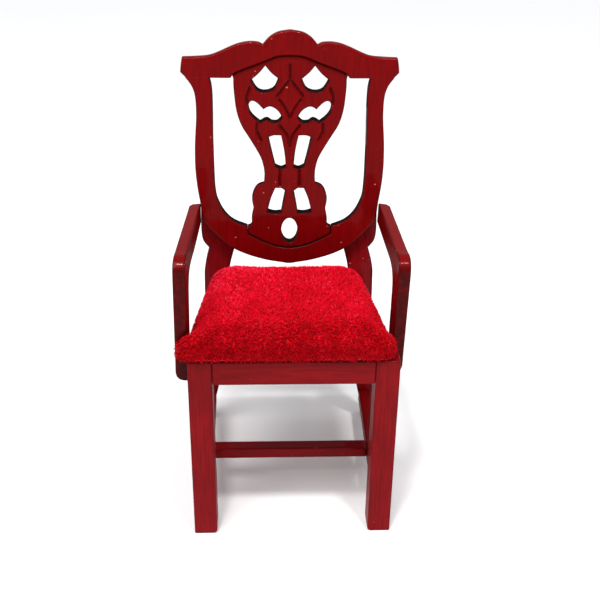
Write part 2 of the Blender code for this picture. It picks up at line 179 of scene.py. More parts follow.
class Shader:
    """A material with short calls for adding nodes to it."""

    def __init__(self, name):
        self.material = bpy.data.materials.new(name)
        self.material.use_nodes = True
        self.tree = self.material.node_tree
        self.principled = self.tree.nodes["Principled BSDF"]

    def add(self, kind, **settings):
        """A new node with its settings."""
        made = self.tree.nodes.new(kind)
        for key, value in settings.items():
            setattr(made, key, value)
        return made

    def link(self, source, target):
        """A link between two sockets."""
        self.tree.links.new(source, target)

    def constants(self, **values):
        """Values that are the same all over, set on the shader's own sockets."""
        for key, value in values.items():
            self.principled.inputs[key.replace("_", " ")].default_value = value

    def place(self, scale):
        """Object coordinates in metres, multiplied by a scale along each axis."""
        coordinates = self.add("ShaderNodeTexCoord")
        mapping = self.add("ShaderNodeMapping")
        mapping.inputs["Scale"].default_value = scale
        self.link(coordinates.outputs["Object"], mapping.inputs["Vector"])
        return mapping.outputs["Vector"]

    def noise(self, scale, detail=3.0, roughness=0.55):
        """A noise value between 0 and 1; scale is in repeats for each metre along x, y and z."""
        texture = self.add("ShaderNodeTexNoise")
        texture.inputs["Scale"].default_value = 1.0
        texture.inputs["Detail"].default_value = detail
        texture.inputs["Roughness"].default_value = roughness
        self.link(self.place(scale), texture.inputs["Vector"])
        return texture.outputs["Fac"]

    def spread(self, value, low, high, to_low=0.0, to_high=1.0):
        """Stretch the part of a value between low and high over another range."""
        remap = self.add("ShaderNodeMapRange", interpolation_type="SMOOTHSTEP")
        for key, number in (("From Min", low), ("From Max", high), ("To Min", to_low), ("To Max", to_high)):
            remap.inputs[key].default_value = number
        self.link(value, remap.inputs["Value"])
        return remap.outputs["Result"]

    def mixed(self, factor, low, high):
        """A colour between two others, each of them a colour or a socket."""
        mix = self.add("ShaderNodeMix", data_type="RGBA")
        self.link(factor, mix.inputs[0])
        for value, socket in ((low, mix.inputs[6]), (high, mix.inputs[7])):
            if isinstance(value, tuple):
                socket.default_value = (*value, 1.0)
            else:
                self.link(value, socket)
        return mix.outputs[2]

    def bumped(self, *layers):
        """Bumps laid over each other; each layer is a height from 0 to 1 and its size in metres."""
        before = None
        for height, size in layers:
            bump = self.add("ShaderNodeBump")
            bump.inputs["Strength"].default_value = 1.0
            bump.inputs["Distance"].default_value = size
            self.link(height, bump.inputs["Height"])
            if before:
                self.link(before, bump.inputs["Normal"])
            before = bump.outputs["Normal"]
        self.link(before, self.principled.inputs["Normal"])


def between(pair, share):
    """A colour part of the way from the first of a pair to the second."""
    return tuple(first + (second - first) * share for first, second in zip(*pair))


def lacquer(name, along, browned=0.0):
    """Red lacquer over close-grained wood, whose figure runs along one axis."""
    paint = Shader(name)
    grain = [2300.0, 2300.0, 2300.0]
    grain[along] = 130.0
    figure = paint.noise(tuple(grain), detail=5.0)
    grained = paint.spread(figure, 0.30, 0.62)
    colour = paint.mixed(grained, between(DEEP_RED, browned), between(BRIGHT_RED, browned))
    cloud = paint.spread(paint.noise((95.0, 95.0, 95.0)), 0.35, 0.7, 0.0, 0.35)
    colour = paint.mixed(cloud, colour, CLOUDED_RED)
    specks = paint.spread(paint.noise((1500.0, 1500.0, 1500.0), detail=0.0), 0.85, 0.88)
    colour = paint.mixed(specks, colour, SPECK)
    # This mask darkens scorched edges, and on the arms it also holds painted shade on the faces that look
    # forwards
    scorch_and_shade = paint.add("ShaderNodeAttribute", attribute_name="scorch_and_shade")
    uneven = paint.spread(paint.noise((900.0, 900.0, 900.0)), 0.25, 0.6, 0.55, 1.0)
    amount = paint.add("ShaderNodeMath", operation="MULTIPLY")
    paint.link(scorch_and_shade.outputs["Fac"], amount.inputs[0])
    paint.link(uneven, amount.inputs[1])
    colour = paint.mixed(amount.outputs[0], colour, SCORCH_AND_SHADE)
    paint.link(colour, paint.principled.inputs["Base Color"])
    paint.link(paint.spread(figure, 0.2, 0.8, 0.38, 0.52), paint.principled.inputs["Roughness"])
    peel = paint.noise((650.0, 650.0, 650.0), detail=1.0)
    paint.bumped((figure, 0.005 * MM), (peel, 0.02 * MM))
    paint.constants(Specular_IOR_Level=0.03, Coat_Weight=0.09, Coat_Roughness=0.07)
    return paint.material


def charred():
    """Edges that the saw has scorched almost black, left matt."""
    paint = Shader("charred_edge")
    soot = paint.noise((800.0, 800.0, 2600.0), detail=4.0)
    colour = paint.mixed(paint.spread(soot, 0.45, 0.75), (0.004, 0.0018, 0.0016), (0.045, 0.005, 0.004))
    paint.link(colour, paint.principled.inputs["Base Color"])
    paint.bumped((soot, 0.02 * MM))
    paint.constants(Roughness=0.9, Specular_IOR_Level=0.05)
    return paint.material


def fibreboard():
    """Bare brown fibreboard with short pressed fibres."""
    paint = Shader("fibreboard")
    fibres = paint.noise((1400.0, 600.0, 1400.0), detail=6.0)
    colour = paint.mixed(paint.spread(fibres, 0.3, 0.7), (0.17, 0.09, 0.04), (0.36, 0.22, 0.12))
    paint.link(colour, paint.principled.inputs["Base Color"])
    paint.bumped((fibres, 0.03 * MM))
    paint.constants(Roughness=0.85, Specular_IOR_Level=0.2)
    return paint.material


def plush_ground():
    """The woven ground under the pile, with painted shade in its hollows: the noise that bumps it also
    makes it darker where it is low.
    """
    paint = Shader("plush_ground")
    tufts = paint.noise((1900.0, 1900.0, 1900.0), detail=2.0)
    # Painted shade: the colour follows the bump noise, darker in the hollows
    colour = paint.mixed(paint.spread(tufts, 0.3, 0.7), (0.36, 0.0, 0.003), (0.66, 0.001, 0.010))
    paint.link(colour, paint.principled.inputs["Base Color"])
    paint.bumped((tufts, 0.12 * MM))
    paint.constants(Roughness=0.95, Specular_IOR_Level=0.05, Sheen_Weight=0.2, Sheen_Roughness=0.5)
    return paint.material


def pile(name, colour, sheen):
    """One colour of the pile, used for its dye tones and for painted light and shade."""
    paint = Shader(name)
    paint.constants(Base_Color=(*colour, 1.0), Roughness=0.8, Specular_IOR_Level=0.08,
                    Sheen_Weight=sheen, Sheen_Roughness=0.45, Sheen_Tint=(1.0, 0.25, 0.35, 1.0))
    return paint.material


def floor_paint():
    """Pale studio floor with a barely visible mottle."""
    paint = Shader("studio_floor")
    mottle = paint.noise((6.0, 6.0, 6.0))
    colour = paint.mixed(mottle, (0.91, 0.91, 0.915), (0.94, 0.94, 0.94))
    paint.link(colour, paint.principled.inputs["Base Color"])
    paint.constants(Roughness=0.9, Specular_IOR_Level=0.1)
    return paint.material


# Wood shapes

def welded(name):
    """A CAD node's mesh with its split vertices joined and its flat faces whole."""
    bm = bmesh.new()
    bm.from_mesh(frame["nodes"][name].data)
    bmesh.ops.remove_doubles(bm, verts=bm.verts, dist=WELD)
    bmesh.ops.dissolve_limit(bm, angle_limit=math.radians(1), verts=bm.verts, edges=bm.edges)
    return bm


def distances(points, starts, ends):
    """Distance from each point to the nearest of many line segments, in two or three dimensions."""
    runs = ends - starts
    squares = np.maximum((runs ** 2).sum(1), TINY_SQUARE)
    nearest = np.full(len(points), np.inf)
    for first in range(0, len(points), CHUNK):
        chunk = points[first:first + CHUNK]
        offset = chunk[:, None, :] - starts[None, :, :]
        along = np.clip((offset * runs[None, :, :]).sum(2) / squares[None, :], 0.0, 1.0)
        gap = offset - along[:, :, None] * runs[None, :, :]
        nearest[first:first + CHUNK] = np.sqrt((gap ** 2).sum(2).min(1))
    return nearest


def waver(points):
    """A small uneven offset for each point, as hand sanding and thick lacquer leave it."""
    return np.array([noise.noise_vector(Vector(point) * WAVER_PER_METRE)[:] for point in points]) * WAVER


def finished(name, node, mesh, scorch_and_shade, *materials):
    """Make a piece that stands for a CAD node of wood."""
    for face in mesh.polygons:
        face.use_smooth = True
    attribute = mesh.attributes.new("scorch_and_shade", "FLOAT", "POINT")
    attribute.data.foreach_set("value", scorch_and_shade.astype(np.float32))
    for material in materials:
        mesh.materials.append(material)
    piece = bpy.data.objects.new(name, mesh)
    bpy.context.scene.collection.objects.link(piece)
    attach(piece, BODY)
    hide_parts(node)
    return piece


def sliced(bm, low, high):
    """Cut a mesh across all three axes, so that no face is much larger than GRID."""
    for axis in range(3):
        count = int((high[axis] - low[axis]) / GRID)
        for step in range(1, count):
            spot = Vector((0, 0, 0))
            spot[axis] = low[axis] + (high[axis] - low[axis]) * step / count
            normal = Vector((0, 0, 0))
            normal[axis] = 1.0
            everything = bm.verts[:] + bm.edges[:] + bm.faces[:]
            bmesh.ops.bisect_plane(bm, geom=everything, dist=WELD, plane_co=spot, plane_no=normal)


def from_lowest(corners):
    """A face's corners in the same turn, starting from the lowest index."""
    first = corners.index(min(corners))
    return corners[first:] + corners[:first]


def timber(node, material, burn_level, front_painted_shade=0.0):
    """A bar, leg, post or arm: arrises eased, faces divided finely, edges darkened.

    The last argument is painted shade: it darkens what faces forwards, so that the front faces read as
    shaded.
    """
    bm = welded(node)
    sharp = [edge for edge in bm.edges if edge.calc_face_angle(0.0) > SHARP]
    lines = np.array([[vert.co[:] for vert in edge.verts] for edge in sharp])
    bmesh.ops.bevel(bm, geom=sharp, offset=ARRIS, segments=ARRIS_SEGMENTS, profile=0.5, affect="EDGES",
                    clamp_overlap=True)
    sliced(bm, *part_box(node))
    bmesh.ops.triangulate(bm, faces=[face for face in bm.faces if len(face.verts) > 4])
    bmesh.ops.recalc_face_normals(bm, faces=bm.faces)
    bm.verts.index_update()
    points = np.array([vert.co[:] for vert in bm.verts])
    # The cuts leave the faces in another order each time, so they are sorted
    faces = sorted(from_lowest([vert.index for vert in face.verts]) for face in bm.faces)
    bm.free()
    mesh = bpy.data.meshes.new(node + "_finished")
    mesh.from_pydata(points.tolist(), [], faces)
    mesh.update()
    gap = distances(points, lines[:, 0], lines[:, 1])
    scorch_and_shade = burn_level * np.clip(1.0 - (gap - BURN_START) / BURN_REACH, 0.0, 1.0)
    # Painted shade: faces that look forwards are darkened through the same mask as the scorched edges
    if front_painted_shade:
        facing = -np.array([vert.normal.y for vert in mesh.vertices])
        share = (facing - PAINTED_SHADE_STARTS_FACING) / (PAINTED_SHADE_FULL_FACING - PAINTED_SHADE_STARTS_FACING)
        scorch_and_shade = np.maximum(scorch_and_shade, front_painted_shade * np.clip(share, 0.0, 1.0))
    mesh.vertices.foreach_set("co", (points + waver(points)).ravel())
    return finished(node + "_finished", node, mesh, scorch_and_shade, material)


class LeaningBack:
    """Flat coordinates on the leaning back: across, depth behind its front face, and height."""

    def __init__(self):
        bm = welded("shield_frame")
        front = max(bm.faces, key=lambda face: -face.normal.y * face.calc_area())
        self.inwards = -np.array(front.normal)
        self.upwards = np.array([0.0, -self.inwards[2], self.inwards[1]])
        self.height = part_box("front_rail")[1].z
        on_face = np.array(front.calc_center_median())
        run = (self.height - on_face[2]) / self.upwards[2]
        self.origin = on_face + self.upwards * run
        self.origin[0] = 0.0
        bm.free()

    def flat(self, points):
        """Place points on the back's own axes."""
        offset = np.asarray(points) - self.origin
        return np.stack([offset[:, 0], offset @ self.inwards, offset @ self.upwards + self.height], 1)

    def world(self, points):
        """The inverse of flat."""
        rise = points[:, 2:3] - self.height
        side = points[:, :1] * np.array([[1.0, 0.0, 0.0]])
        return self.origin + side + points[:, 1:2] * self.inwards + rise * self.upwards


def outline_loops(node, back):
    """The closed outlines of a board's front face, each an array of points across and up."""
    bm = welded(node)
    fronts = {face for face in bm.faces if Vector(back.inwards).dot(face.normal) < -0.99}
    rim = [edge for edge in bm.edges if sum(face in fronts for face in edge.link_faces) == 1]
    follow = {}
    for edge in rim:
        for vert, other in (edge.verts, reversed(edge.verts)):
            follow.setdefault(vert, []).append(other)
    loops, seen = [], set()
    for start in follow:
        if start in seen:
            continue
        loop, vert = [], start
        while vert and vert not in seen:
            seen.add(vert)
            loop.append(vert.co[:])
            vert = next((other for other in follow[vert] if other not in seen), None)
        loops.append(back.flat(loop)[:, [0, 2]])
    depth = back.flat([vert.co[:] for face in fronts for vert in face.verts])[:, 1].mean()
    thick = back.flat([vert.co[:] for vert in bm.verts])[:, 1].max() - depth
    bm.free()
    return loops, depth, thick


def unit(vectors):
    """Vectors made one long."""
    return vectors / np.maximum(np.linalg.norm(vectors, axis=-1, keepdims=True), TINY)


def curved(points, closed=True):
    """Round off an outline between its corners, with points about OUTLINE_STEP apart."""
    count = len(points)
    before = unit(points - np.roll(points, 1, 0))
    after = unit(np.roll(points, -1, 0) - points)
    corner = (before * after).sum(1) < math.cos(OUTLINE_CORNER)
    if not closed:
        corner[[0, -1]] = True
    middle = unit(before + after)
    leave = np.where(corner[:, None], after, middle)
    arrive = np.where(corner[:, None], before, middle)
    out = []
    for i in range(count if closed else count - 1):
        j = (i + 1) % count
        run = np.linalg.norm(points[j] - points[i])
        steps = max(1, math.ceil(run / OUTLINE_STEP))
        for t in np.arange(steps) / steps:
            start, end = 2 * t ** 3 - 3 * t ** 2 + 1, 3 * t ** 2 - 2 * t ** 3
            out.append(start * points[i] + end * points[j]
                       + (t ** 3 - 2 * t ** 2 + t) * run * leave[i] + (t ** 3 - t ** 2) * run * arrive[j])
    if not closed:
        out.append(points[-1])
    return np.array(out)


def inside(points, starts, ends):
    """Which points lie inside closed outlines, by counting the lines to their right."""
    result = np.zeros(len(points), bool)
    for first in range(0, len(points), CHUNK):
        x, z = points[first:first + CHUNK, :1], points[first:first + CHUNK, 1:]
        crossing = (starts[None, :, 1] > z) != (ends[None, :, 1] > z)
        rise = np.where(ends[:, 1] == starts[:, 1], TINY, ends[:, 1] - starts[:, 1])
        reach = starts[None, :, 0] + (z - starts[None, :, 1]) / rise[None, :] * (ends - starts)[None, :, 0]
        result[first:first + CHUNK] = (crossing & (x < reach)).sum(1) % 2 == 1
    return result


def thinned(points, gap):
    """Drop points that share a small cell with another."""
    cells = np.round(points / gap).astype(np.int64)
    keep = np.unique(cells, axis=0, return_index=True)[1]
    return points[np.sort(keep)]


class Outline:
    """A board's smoothed outline, seen flat: across and up."""

    def __init__(self, loops, seam):
        loops = [curved(loop) for loop in loops]
        self.starts = np.concatenate(loops)
        self.ends = np.concatenate([np.roll(loop, -1, 0) for loop in loops])
        on_seam = [abs(points[:, 1] - seam) < SEAM_REACH for points in (self.starts, self.ends)]
        self.free = ~(on_seam[0] & on_seam[1])
        widest = max(range(len(loops)), key=lambda i: np.ptp(loops[i][:, 0]))
        self.outer = np.concatenate([np.full(len(loop), i == widest) for i, loop in enumerate(loops)])
        self.edges, first = [], 0
        for loop in loops:
            ring = list(range(first, first + len(loop)))
            self.edges += zip(ring, ring[1:] + ring[:1])
            first += len(loop)

    def gap(self, points, chosen):
        """Distance from each point to the chosen lines of the outline."""
        return distances(points, self.starts[chosen], self.ends[chosen])

    def rings(self):
        """Points in rows beside the outline."""
        side = unit(self.ends - self.starts) @ np.array([[0.0, 1.0], [-1.0, 0.0]])
        return [self.starts + sign * side * ring for ring in RINGS for sign in (-1, 1)]

    def grid(self):
        """Points in staggered rows over the whole board."""
        low, high = self.starts.min(0), self.starts.max(0)
        xs = np.arange(low[0], high[0], INSIDE_STEP)
        zs = np.arange(low[1], high[1], INSIDE_STEP * ROW_RATIO)
        grid = np.stack(np.meshgrid(xs, zs), -1)
        grid[1::2, :, 0] += INSIDE_STEP / 2
        return grid.reshape(-1, 2)

    def triangles(self, rows):
        """A flat triangulation within the outline, through points in rows beside it and over the board."""
        extra = thinned(np.concatenate(rows + [self.grid()]), POINT_CELL)
        extra = extra[inside(extra, self.starts, self.ends)]
        extra = extra[distances(extra, self.starts, self.ends) > OUTLINE_MARGIN]
        points = np.concatenate([self.starts, extra])
        vectors = [Vector(point) for point in points * TRIANGULATION_SCALE]
        found, _, faces, _, _, _ = geometry.delaunay_2d_cdt(vectors, self.edges, [], 0, TRIANGULATION_WELD)
        points = np.array([vert[:] for vert in found]) / TRIANGULATION_SCALE
        faces = np.array(faces)
        return points, faces[inside(points[faces].mean(1), self.starts, self.ends)]

    def hole_rise(self, points):
        """How much higher each point stands on the back face than on the front, near the slanted holes."""
        if self.outer.all():
            return np.zeros(len(points))
        near_hole = 1.0 - self.gap(points, ~self.outer) / HOLE_RISE_REACH
        near_rim = self.gap(points, self.outer) / HOLE_RISE_MARGIN
        return HOLE_RISE * np.clip(near_hole, 0.0, 1.0) * np.clip(near_rim, 0.0, 1.0)


def groove_rows(lines):
    """Points in rows beside the grooves."""
    rows = []
    for line in lines:
        across = unit(np.gradient(line, axis=0)) @ np.array([[0.0, 1.0], [-1.0, 0.0]])
        rows += [line + sign * across * ring for ring in GROOVE_RINGS for sign in (-1, 1)]
    return rows


def groove_share(points, lines):
    """How deep each point lies in a groove: 0 outside it, 1 at its bottom."""
    if not lines:
        return np.zeros(len(points))
    starts = np.concatenate([line[:-1] for line in lines])
    ends = np.concatenate([line[1:] for line in lines])
    return np.clip(1.0 - distances(points, starts, ends) / GROOVE_HALF, 0.0, 1.0)


def carved_board(node, back, materials, seam, wall_burn, dark_walls, grooves=(), arris=ARRIS):
    """A board of the back: smooth outlines, eased arrises, V-shaped grooves and dark sawn walls.

    dark_walls says which walls are scorched: "all", "none", or "inner" for those that face the opening.
    """
    loops, front_depth, thick = outline_loops(node, back)
    outline = Outline(loops, seam)
    lines = [curved(np.array(groove) * MM, closed=False) for groove in grooves]
    points, faces = outline.triangles(outline.rings() + groove_rows(lines))
    gap = outline.gap(points, outline.free)
    drop = arris - np.sqrt(np.maximum(arris ** 2 - np.maximum(arris - gap, 0.0) ** 2, 0.0))
    scorch_and_shade = wall_burn * np.clip(1.0 - gap / BURN_REACH, 0.0, 1.0)
    rise = outline.hole_rise(points)
    if node == "crest_rail":
        # The crest reaches a little into the boards below it, so that the glued seam looks closed
        points[:, 1] -= np.where(points[:, 1] < seam + SEAM_REACH, SEAM_OVERLAP, 0.0)
    share = groove_share(points, lines)
    # Darker towards the bottom of each groove
    scorch_and_shade = np.maximum(scorch_and_shade, GROOVE_DARKENING * share ** 1.5)
    carve = GROOVE_DEPTH * share ** 1.2
    front = np.stack([points[:, 0], front_depth + drop + carve, points[:, 1]], 1)
    back_depth = front_depth + thick - np.minimum(drop, ARRIS)
    rear = np.stack([points[:, 0], back_depth, points[:, 1] + rise], 1)
    turn = np.cross(points[faces[:, 1]] - points[faces[:, 0]], points[faces[:, 2]] - points[faces[:, 0]])
    faces[turn < 0] = faces[turn < 0][:, ::-1]
    flat, polygons, slots, rim = walled(front, rear, faces, dark_walls)
    burns = np.concatenate([scorch_and_shade, scorch_and_shade, np.full((WALL_ROWS - 1) * rim, wall_burn)])
    world = back.world(flat)
    mesh = bpy.data.meshes.new(node + "_carved")
    mesh.from_pydata((world + waver(world)).tolist(), [], polygons)
    mesh.update()
    piece = finished(node + "_carved", node, mesh, burns, *materials)
    mesh.polygons.foreach_set("material_index", slots)
    return piece


def walled(front, rear, faces, dark_walls):
    """Join a board's front and rear faces with rows of wall faces, the dark ones in material slot 1."""
    sides = np.concatenate([faces[:, [0, 1]], faces[:, [1, 2]], faces[:, [2, 0]]])
    keys = {tuple(pair) for pair in sides.tolist()}
    rim_edges = [pair for pair in keys if pair[::-1] not in keys]
    rim_verts = sorted({vert for pair in rim_edges for vert in pair})
    index = {vert: i for i, vert in enumerate(rim_verts)}
    count = len(front)
    rows = []
    for row in range(1, WALL_ROWS):
        share = row / WALL_ROWS
        rows.append(front[rim_verts] * (1 - share) + rear[rim_verts] * share)

    def level(vert, row):
        if row == 0:
            return vert
        if row == WALL_ROWS:
            return vert + count
        return 2 * count + (row - 1) * len(rim_verts) + index[vert]

    polygons = faces.tolist() + (faces[:, ::-1] + count).tolist()
    slots = [0] * len(polygons)
    for a, b in rim_edges:
        # A rim edge keeps the wood on its left, so its outward side is on its right
        outward = np.array([front[b, 2] - front[a, 2], front[a, 0] - front[b, 0]])
        to_centre = outward[0] * front[a, 0] < 0.0
        dark = dark_walls == "all" or (dark_walls == "inner" and to_centre and outward[1] > 0.0)
        for row in range(WALL_ROWS):
            polygons.append([level(b, row), level(a, row), level(a, row + 1), level(b, row + 1)])
            slots.append(int(dark))
    return np.concatenate([front, rear] + rows), polygons, slots, len(rim_verts)


def mirrored_grooves(groove):
    """A groove and its mirror image."""
    return [groove, [(-x, z) for x, z in groove]]


# Millimetres across and up the splat
SPLAT_GROOVES = (
    [[(0.0, 89.2), (0.0, 86.2)]]
    + mirrored_grooves([(0.25, 85.8), (2.8, 82.5)])
    + mirrored_grooves([(2.3, 81.9), (1.2, 80.4), (0.0, 78.0)])
    + mirrored_grooves([(8.5, 84.3), (9.15, 82.3), (8.95, 80.9)])
    + mirrored_grooves([(7.05, 76.7), (7.1, 75.2), (6.1, 73.2)])
    + mirrored_grooves([(2.1, 76.3), (0.6, 74.2), (0.0, 71.9)])
    + mirrored_grooves([(2.1, 66.6), (2.1, 63.3)])
)


# Seat

def solid_tree(node):
    """A node's solid, for finding the nearest point on it."""
    mesh = frame["nodes"][node].data
    mesh.calc_loop_triangles()
    corners = [vert.co[:] for vert in mesh.vertices]
    return bvhtree.BVHTree.FromPolygons(corners, [tuple(tri.vertices) for tri in mesh.loop_triangles])


def depth_inside(tree, point):
    """How far inside a solid a point is, negative outside it."""
    spot, normal, _, _ = tree.find_nearest(Vector(point))
    return (spot - Vector(point)).dot(normal)


def inner_face(tree, side, point):
    """How far out a neighbour's inner face stands, level with a point, or infinity where it has none."""
    hit = tree.ray_cast(Vector((0.0, point[1], point[2])), Vector((side, 0.0, 0.0)))[0]
    return abs(hit.x) if hit else math.inf


def evaluated(thing):
    """A new mesh of a thing as its modifiers leave it now."""
    return bpy.data.meshes.new_from_object(thing.evaluated_get(bpy.context.evaluated_depsgraph_get()))


def temporary(name, mesh):
    """A thing that is only needed while the cushion is made."""
    made = bpy.data.objects.new(name, mesh)
    bpy.context.scene.collection.objects.link(made)
    return made


def coordinates(mesh):
    """A mesh's points as an array."""
    flat = np.empty(len(mesh.vertices) * 3)
    mesh.vertices.foreach_get("co", flat)
    return flat.reshape(-1, 3)


def puffed_seat():
    """The cover's outer shape, evenly remeshed and blown up a little by a cloth simulation."""
    low, high = (np.array(corner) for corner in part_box("seat_cover"))
    middle = (low + high) / 2
    shrink = 1.0 - 2 * SIM_START_INSET / (high - low)
    shrink[2] = 1.0
    bm = bmesh.new()
    for vert in frame["nodes"]["seat_cover"].data.vertices:
        bm.verts.new(((np.array(vert.co) - middle) * shrink + middle) * SIM_SCALE)
    bmesh.ops.remove_doubles(bm, verts=bm.verts, dist=WELD * SIM_SCALE)
    hull = bmesh.ops.convex_hull(bm, input=bm.verts)
    left_over = hull["geom_interior"] + hull["geom_unused"]
    spare = {item for item in left_over if isinstance(item, bmesh.types.BMVert)}
    bmesh.ops.delete(bm, geom=list(spare), context="VERTS")
    mesh = bpy.data.meshes.new("seat_hull")
    bm.to_mesh(mesh)
    bm.free()
    block = temporary("seat_hull", mesh)
    remesh = block.modifiers.new("even", "REMESH")
    remesh.mode = "VOXEL"
    remesh.voxel_size = SIM_VOXEL
    even = evaluated(block)
    start = coordinates(even)
    bpy.data.objects.remove(block)
    pad = temporary("seat_pad", even)
    held = pad.vertex_groups.new(name="held")
    floor = start[:, 2].min() + SIM_VOXEL
    held.add([int(i) for i in np.nonzero(start[:, 2] < floor)[0]], 1.0, "REPLACE")
    cloth = pad.modifiers.new("cloth", "CLOTH")
    cloth.settings.use_pressure = True
    cloth.settings.uniform_pressure_force = SIM_PRESSURE
    cloth.settings.effector_weights.gravity = 0.0
    cloth.settings.vertex_group_mass = held.name
    cloth.point_cache.frame_start = 1
    cloth.point_cache.frame_end = SIM_FRAMES
    for step in range(1, SIM_FRAMES + 1):
        bpy.context.scene.frame_set(step)
    blown = evaluated(pad)
    moved = coordinates(blown) - start
    length = np.maximum(np.linalg.norm(moved, axis=1, keepdims=True), 1e-9)
    moved *= np.minimum(length, SIM_LIMIT * SIM_SCALE) / length
    bpy.data.objects.remove(pad)
    bpy.context.scene.frame_set(1)
    return blown, start + moved


def widened(points):
    """Spread the cushion sideways, push its front corners out, and let the left one spill past the arm."""
    low, high = (np.array(corner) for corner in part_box("seat_cover"))
    back = np.clip((points[:, 1] - low[1]) / (high[1] - low[1]), 0.0, 1.0)
    spread = SPREAD_AT_FRONT + (SPREAD_AT_BACK - SPREAD_AT_FRONT) * back
    half = (high[0] - low[0]) / 2 * (1.0 - SEAT_TAPER * back)
    points[:, 0] += spread * np.clip((points[:, 0] - (low[0] + high[0]) / 2) / half, -1.0, 1.0)
    to_front = np.clip(1.0 - (points[:, 1] - low[1]) / CORNER_REACH, 0.0, 1.0)
    to_left = np.clip(1.0 - (points[:, 0] - low[0]) / CORNER_REACH, 0.0, 1.0)
    to_right = np.clip(1.0 - (high[0] - points[:, 0]) / CORNER_REACH, 0.0, 1.0)
    points[:, 0] += CORNER_PUSH * np.sqrt(to_front) * (to_right - to_left)
    arm_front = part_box("arm_left")[0].y
    ahead = np.clip((arm_front - points[:, 1]) / SPILL_STARTS, 0.0, 1.0)
    points[:, 0] -= LEFT_CORNER_SPILL * ahead * to_left


def settled(points, neighbours):
    """Rest the cushion on its board and the front rail, and keep it clear of the arms and rear legs."""
    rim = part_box("front_rail")[1].z + RIM_GAP
    points[:, 2] = np.maximum(points[:, 2], rim)
    board_low, board_high = (np.array(corner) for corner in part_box("seat_board"))
    inset = np.minimum(points - board_low, board_high - points)[:, :2].min(1)
    raised = (inset > RIM_WIDTH) & (points[:, 2] < board_high[2] + CLEARANCE)
    points[raised, 2] = board_high[2] + CLEARANCE
    for side, tree in neighbours:
        for i in np.nonzero(points[:, 0] * side > NEAR_NEIGHBOURS)[0]:
            points[i, 0] = side * min(abs(points[i, 0]), inner_face(tree, side, points[i]) - CLEARANCE)


def cushion(neighbours):
    """The padded seat, which stands for its cover and its foam."""
    mesh, points = puffed_seat()
    mesh.vertices.foreach_set("co", (points / SIM_SCALE).ravel())
    mesh.update()
    rounded = temporary("seat_round", mesh)
    rounded.modifiers.new("finer", "SUBSURF").levels = 1
    final = evaluated(rounded)
    bpy.data.objects.remove(rounded)
    points = coordinates(final)
    widened(points)
    lumps = np.array([noise.noise(Vector(point) * LUMPS_PER_METRE) for point in points])
    normals = np.empty(len(points) * 3)
    final.vertices.foreach_get("normal", normals)
    points += normals.reshape(-1, 3) * lumps[:, None] * LUMP_HEIGHT
    settled(points, neighbours)
    final.vertices.foreach_set("co", points.ravel())
    final.update()
    for face in final.polygons:
        face.use_smooth = True
    final.materials.clear()
    final.materials.append(plush_ground())
    piece = bpy.data.objects.new("seat_cushion", final)
    bpy.context.scene.collection.objects.link(piece)
    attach(piece, BODY)
    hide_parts("seat_cover", "seat_foam")
    return piece


def pile_roots(mesh, draw):
    """Seeded random places on the cushion's sides and top, with their normals."""
    mesh.calc_loop_triangles()
    corners = coordinates(mesh)[np.array([tri.vertices[:] for tri in mesh.loop_triangles])]
    cross = np.cross(corners[:, 1] - corners[:, 0], corners[:, 2] - corners[:, 0])
    area = np.linalg.norm(cross, axis=1)
    normals = cross / np.maximum(area, TINY_SQUARE)[:, None]
    area[normals[:, 2] < -0.5] = 0.0
    chosen = draw.choice(len(area), PILE_TUFTS, p=area / area.sum())
    u, v = draw.random((2, PILE_TUFTS))
    fold = u + v > 1.0
    u[fold], v[fold] = 1.0 - u[fold], 1.0 - v[fold]
    first, second, third = corners[chosen].transpose(1, 0, 2)
    roots = first + u[:, None] * (second - first) + v[:, None] * (third - first)
    return roots, normals[chosen]


def shade_of(roots, normals, draw):
    """Which colour each tuft takes: 0 deep, 1 crimson, 2 bright, 3 pale; random tone in clumps, plus
    painted light that makes tufts paler towards the back left and on upward faces.
    """
    clump = np.array([noise.noise(Vector(root) / CLUMP_SIZE) for root in roots])
    drift = np.array([noise.noise(Vector(root) * DRIFT_PER_METRE) for root in roots])
    low, high = (np.array(corner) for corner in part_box("seat_cover"))
    back = (roots[:, 1] - low[1]) / (high[1] - low[1])
    left = 1.0 - (roots[:, 0] - low[0]) / (high[0] - low[0])
    upward = np.clip(normals[:, 2], 0.0, 1.0)
    # Painted light: upward faces and the back left are paler; the clump, drift and random terms are the
    # pile's own uneven tone
    level = (0.45 * clump + 0.22 * drift + 0.34 * (back - 0.5) + 0.34 * (left - 0.5) * back
             + 0.22 * (upward - 0.75) + draw.normal(0.0, 0.17, len(roots)))
    return np.digitize(level, SHADE_STEPS)


def kept_tufts(tips, neighbours):
    """Which tufts stay clear of the front rail, the arms and the rear legs."""
    keep = tips[:, 2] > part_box("front_rail")[1].z + CLEARANCE
    for side, tree in neighbours:
        for i in np.nonzero(keep & (side * tips[:, 0] > NEAR_NEIGHBOURS))[0]:
            keep[i] = depth_inside(tree, tips[i]) < -CLEARANCE
    return keep


